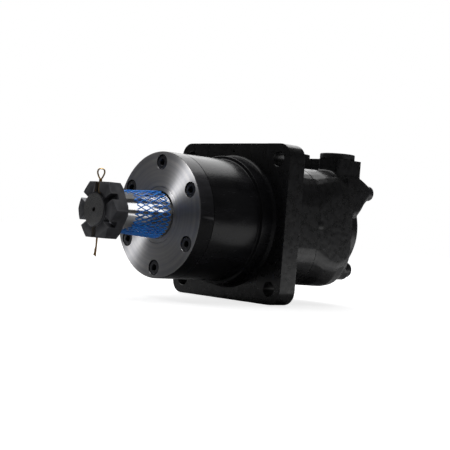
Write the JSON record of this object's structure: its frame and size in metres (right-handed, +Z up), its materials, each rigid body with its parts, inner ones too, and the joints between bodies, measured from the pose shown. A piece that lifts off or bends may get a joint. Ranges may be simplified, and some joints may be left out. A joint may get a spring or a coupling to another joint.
{
  "type": "hydraulic motor",
  "caption": "Orbital hydraulic wheel motor with a square mounting flange, a tapered output shaft with a slotted nut, and two plugged ports on top.",
  "frame": {"origin": "centre of the flange's mounting face, on the motor's axis", "axes": "+Y along the motor's axis towards the valve end (the shaft points along -Y), +Z up through the ports, +X towards port A"},
  "size_m": [0.162, 0.3441, 0.1635],
  "materials": {
    "cover_gunmetal": "turned, dark grey",
    "barrel_black": "satin black over a machined casting",
    "cast_black": "semi-gloss black paint on rough casting",
    "rear_black": "semi-gloss black paint",
    "oxide_steel": "black oxide",
    "ground_steel": "ground and polished",
    "hardened_steel": "hardened, ground faces",
    "bearing_steel": "superfinished",
    "yellow_zinc": "yellow zinc plated steel",
    "seal_rubber": "moulded",
    "seal_polymer": "filled polymer",
    "net_blue": "extruded net",
    "plug_black": "moulded"
  },
  "bodies": {
    "housing": {"bearing_housing": "barrel_black", "front_cover": "cover_gunmetal", "cover_screw_1": "oxide_steel", "cover_screw_2": "oxide_steel", "cover_screw_3": "oxide_steel", "cover_screw_4": "oxide_steel", "cover_screw_5": "oxide_steel", "cover_screw_6": "oxide_steel", "dust_seal": "seal_rubber", "shaft_seal": "seal_rubber", "cover_oring": "seal_rubber", "front_bearing_cup": "bearing_steel", "rear_bearing_cup": "bearing_steel", "wear_plate": "hardened_steel", "stator_ring": "hardened_steel", "manifold_plate": "hardened_steel", "commutator_ring": "hardened_steel", "balance_plate": "hardened_steel", "commutator_seal": "seal_polymer", "housing_oring": "seal_rubber", "valve_housing": "cast_black", "tie_bolt_1": "rear_black", "tie_bolt_2": "rear_black", "tie_bolt_3": "rear_black", "tie_bolt_4": "rear_black", "port_plug_a": "plug_black", "port_plug_b": "plug_black", "rear_cover": "rear_black", "rear_cover_oring": "seal_rubber", "rear_cover_screw_1": "oxide_steel", "rear_cover_screw_2": "oxide_steel", "rear_cover_screw_3": "oxide_steel", "rear_cover_screw_4": "oxide_steel", "case_drain_plug": "oxide_steel"},
    "shaft": {"output_shaft": "ground_steel", "shaft_key": "hardened_steel", "castle_nut": "oxide_steel", "cotter_pin": "yellow_zinc", "shaft_net_sleeve": "net_blue", "front_bearing_cone": "bearing_steel", "rear_bearing_cone": "bearing_steel", "bearing_lock_nut": "oxide_steel"},
    "front_cage": {"front_bearing_rollers": "bearing_steel"},
    "rear_cage": {"rear_bearing_rollers": "bearing_steel"},
    "commutator": {"commutator": "hardened_steel"},
    "rotor": {"rotor": "hardened_steel"},
    "drive_link": {"drive_link": "hardened_steel"},
    "roller_1": {"stator_roller_1": "bearing_steel"},
    "roller_2": {"stator_roller_2": "bearing_steel"},
    "roller_3": {"stator_roller_3": "bearing_steel"},
    "roller_4": {"stator_roller_4": "bearing_steel"},
    "roller_5": {"stator_roller_5": "bearing_steel"},
    "roller_6": {"stator_roller_6": "bearing_steel"},
    "roller_7": {"stator_roller_7": "bearing_steel"}
  },
  "joints": [
    {"name": "shaft_spin", "type": "hinge", "parent": "housing", "child": "shaft", "pos_m": [0, -0.02, 0], "axis": [0, 1, 0], "continuous": true},
    {"name": "front_cage_spin", "type": "hinge", "parent": "housing", "child": "front_cage", "pos_m": [0, -0.0616, 0], "axis": [0, 1, 0], "continuous": true},
    {"name": "rear_cage_spin", "type": "hinge", "parent": "housing", "child": "rear_cage", "pos_m": [0, -0.001, 0], "axis": [0, 1, 0], "continuous": true},
    {"name": "rotor_orbit", "type": "hinge", "parent": "housing", "child": "commutator", "pos_m": [0, 0.0779, 0], "axis": [0, 1, 0], "continuous": true},
    {"name": "rotor_spin", "type": "hinge", "parent": "commutator", "child": "rotor", "pos_m": [0, 0.0543, 0.0035], "axis": [0, 1, 0], "continuous": true},
    {"name": "link_spin", "type": "hinge", "parent": "commutator", "child": "drive_link", "pos_m": [0, -0.008, 0], "axis": [0, 0.9984, 0.0561], "continuous": true},
    {"name": "roller_1_spin", "type": "hinge", "parent": "housing", "child": "roller_1", "pos_m": [0, 0.0543, 0.038], "axis": [0, 1, 0], "continuous": true},
    {"name": "roller_2_spin", "type": "hinge", "parent": "housing", "child": "roller_2", "pos_m": [0.02971, 0.0543, 0.02369], "axis": [0, 1, 0], "continuous": true},
    {"name": "roller_3_spin", "type": "hinge", "parent": "housing", "child": "roller_3", "pos_m": [0.03705, 0.0543, -0.00846], "axis": [0, 1, 0], "continuous": true},
    {"name": "roller_4_spin", "type": "hinge", "parent": "housing", "child": "roller_4", "pos_m": [0.01649, 0.0543, -0.03424], "axis": [0, 1, 0], "continuous": true},
    {"name": "roller_5_spin", "type": "hinge", "parent": "housing", "child": "roller_5", "pos_m": [-0.01649, 0.0543, -0.03424], "axis": [0, 1, 0], "continuous": true},
    {"name": "roller_6_spin", "type": "hinge", "parent": "housing", "child": "roller_6", "pos_m": [-0.03705, 0.0543, -0.00846], "axis": [0, 1, 0], "continuous": true},
    {"name": "roller_7_spin", "type": "hinge", "parent": "housing", "child": "roller_7", "pos_m": [-0.02971, 0.0543, 0.02369], "axis": [0, 1, 0], "continuous": true}
  ],
  "couplings": [
    {"joint": "front_cage_spin", "follows": "shaft_spin", "ratio": 0.4584},
    {"joint": "rear_cage_spin", "follows": "shaft_spin", "ratio": 0.4584},
    {"joint": "rotor_orbit", "follows": "shaft_spin", "ratio": -6},
    {"joint": "rotor_spin", "follows": "shaft_spin", "ratio": 7},
    {"joint": "link_spin", "follows": "shaft_spin", "ratio": 7},
    {"joint": "roller_1_spin", "follows": "shaft_spin", "ratio": -4.258},
    {"joint": "roller_2_spin", "follows": "shaft_spin", "ratio": -4.258},
    {"joint": "roller_3_spin", "follows": "shaft_spin", "ratio": -4.258},
    {"joint": "roller_4_spin", "follows": "shaft_spin", "ratio": -4.258},
    {"joint": "roller_5_spin", "follows": "shaft_spin", "ratio": -4.258},
    {"joint": "roller_6_spin", "follows": "shaft_spin", "ratio": -4.258},
    {"joint": "roller_7_spin", "follows": "shaft_spin", "ratio": -4.258}
  ]
}
